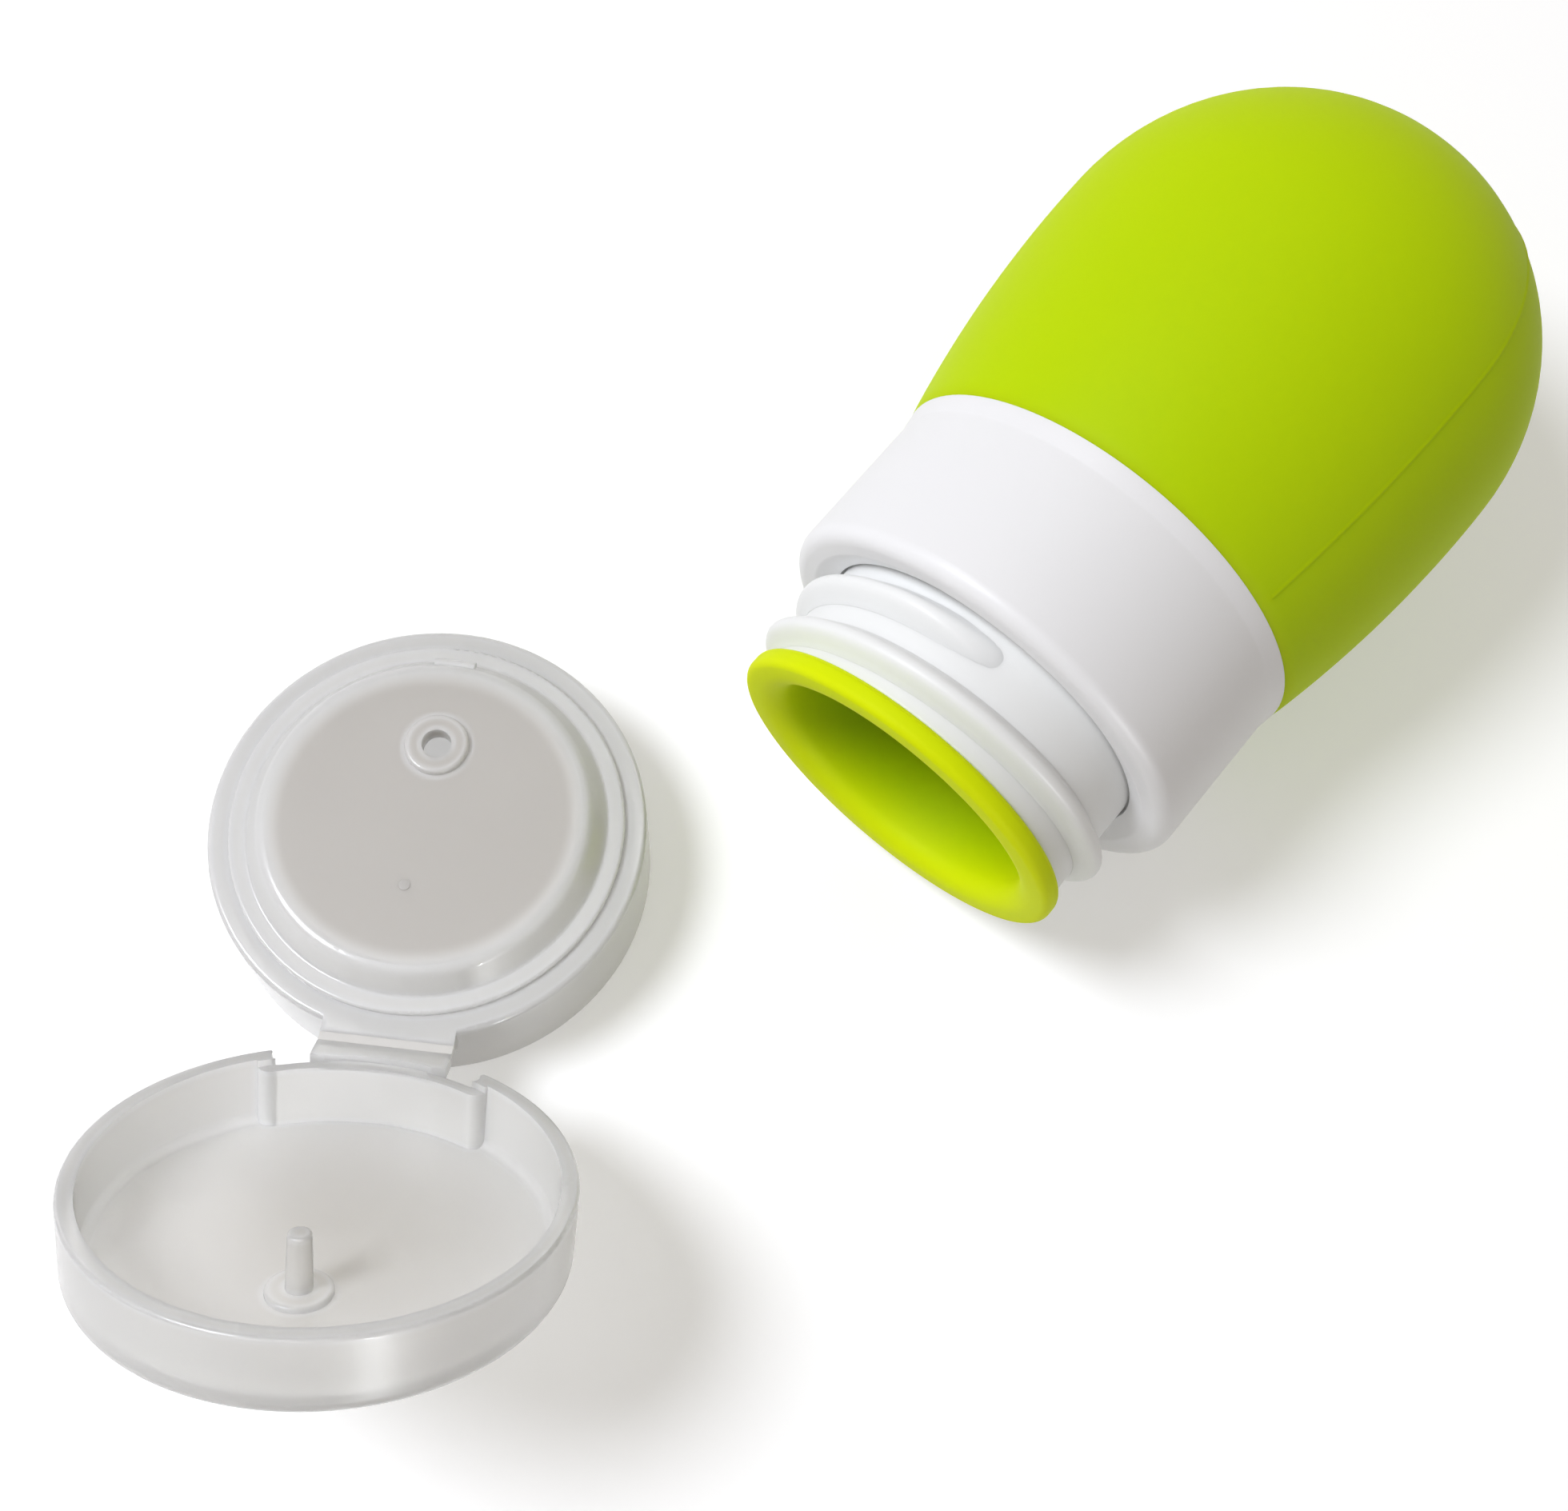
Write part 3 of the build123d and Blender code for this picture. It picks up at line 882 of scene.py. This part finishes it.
# %% Lamps and world
def add_lamp(name, place, size, power, colour):
    lamp = bpy.data.lights.new(name, "AREA")
    lamp.shape, lamp.size, lamp.energy, lamp.color = "DISK", size, power, colour
    holder = bpy.data.objects.new(name, lamp)
    bpy.context.scene.collection.objects.link(holder)
    holder.location = place
    holder.rotation_mode = "QUATERNION"
    holder.rotation_quaternion = (-Vector(place)).to_track_quat("-Z", "Y")
    return holder


add_lamp(
    "key_lamp", place=(-0.39, -0.33, 0.875), size=0.40, power=7.6, colour=(0.90, 0.93, 1.0))
strip = add_lamp(
    "strip_lamp", place=(0.87, -0.49, 0.11), size=0.05, power=4.0, colour=(0.96, 0.98, 1.0))
strip.data.shape, strip.data.size_y = "RECTANGLE", 0.26
strip.visible_diffuse = False


def build_world():
    """Gives warm, weak light from all round, and looks white where it is seen or mirrored."""
    world = bpy.data.worlds.new("studio")
    world.use_nodes = True
    nodes, links = world.node_tree.nodes, world.node_tree.links
    lit, leave = nodes["Background"], nodes["World Output"]
    lit.inputs["Color"].default_value = (1.0, 0.91, 0.80, 1)
    lit.inputs["Strength"].default_value = 0.31
    seen = nodes.new("ShaderNodeBackground")
    seen.inputs["Color"].default_value = (1, 1, 1, 1)
    choose = nodes.new("ShaderNodeMixShader")
    links.new(seen_rays(nodes, links), choose.inputs["Fac"])
    links.new(lit.outputs["Background"], choose.inputs[1])
    links.new(seen.outputs["Background"], choose.inputs[2])
    links.new(choose.outputs["Shader"], leave.inputs["Surface"])
    return world


bpy.context.scene.world = build_world()
print("lamps, in watts:", {lamp.name: round(lamp.energy, 1) for lamp in bpy.data.lights})

# %% [markdown]
# The camera stands high over the front right corner, where the photograph was taken from, and is
# rolled a few degrees, as a hand holds it. It could be placed by eye. Here it was fitted to the
# circles of the bottle and the cap, which a camera sees as ellipses.

# %% Camera
image_width = 1960
focal_length_px = 2600
camera_target = Vector((-0.88, 1.53, 0)) * mm
camera_distance = 205.3 * mm
camera_azimuth = radians(36.09)
camera_elevation = radians(66.06)
camera_roll = radians(4.10)

camera_data = bpy.data.cameras.new("camera")
camera_data.sensor_width = 36
camera_data.sensor_fit = "HORIZONTAL"
camera_data.lens = camera_data.sensor_width * focal_length_px / image_width
camera_data.clip_start, camera_data.clip_end = 0.01, 20
camera = bpy.data.objects.new("camera", camera_data)
bpy.context.scene.collection.objects.link(camera)
back = Vector((
    sin(camera_azimuth) * cos(camera_elevation),
    -cos(camera_azimuth) * cos(camera_elevation),
    sin(camera_elevation)))
camera.location = camera_target + back * camera_distance
camera.rotation_mode = "QUATERNION"
upright = (-back).to_track_quat("-Z", "Y")
camera.rotation_quaternion = upright @ Matrix.Rotation(camera_roll, 3, "Z").to_quaternion()
bpy.context.scene.camera = camera
bpy.context.scene.view_settings.view_transform = "Standard"
print("camera:", round(camera_data.lens, 1), "mm lens,", round(camera_distance / mm, 1), "mm away")
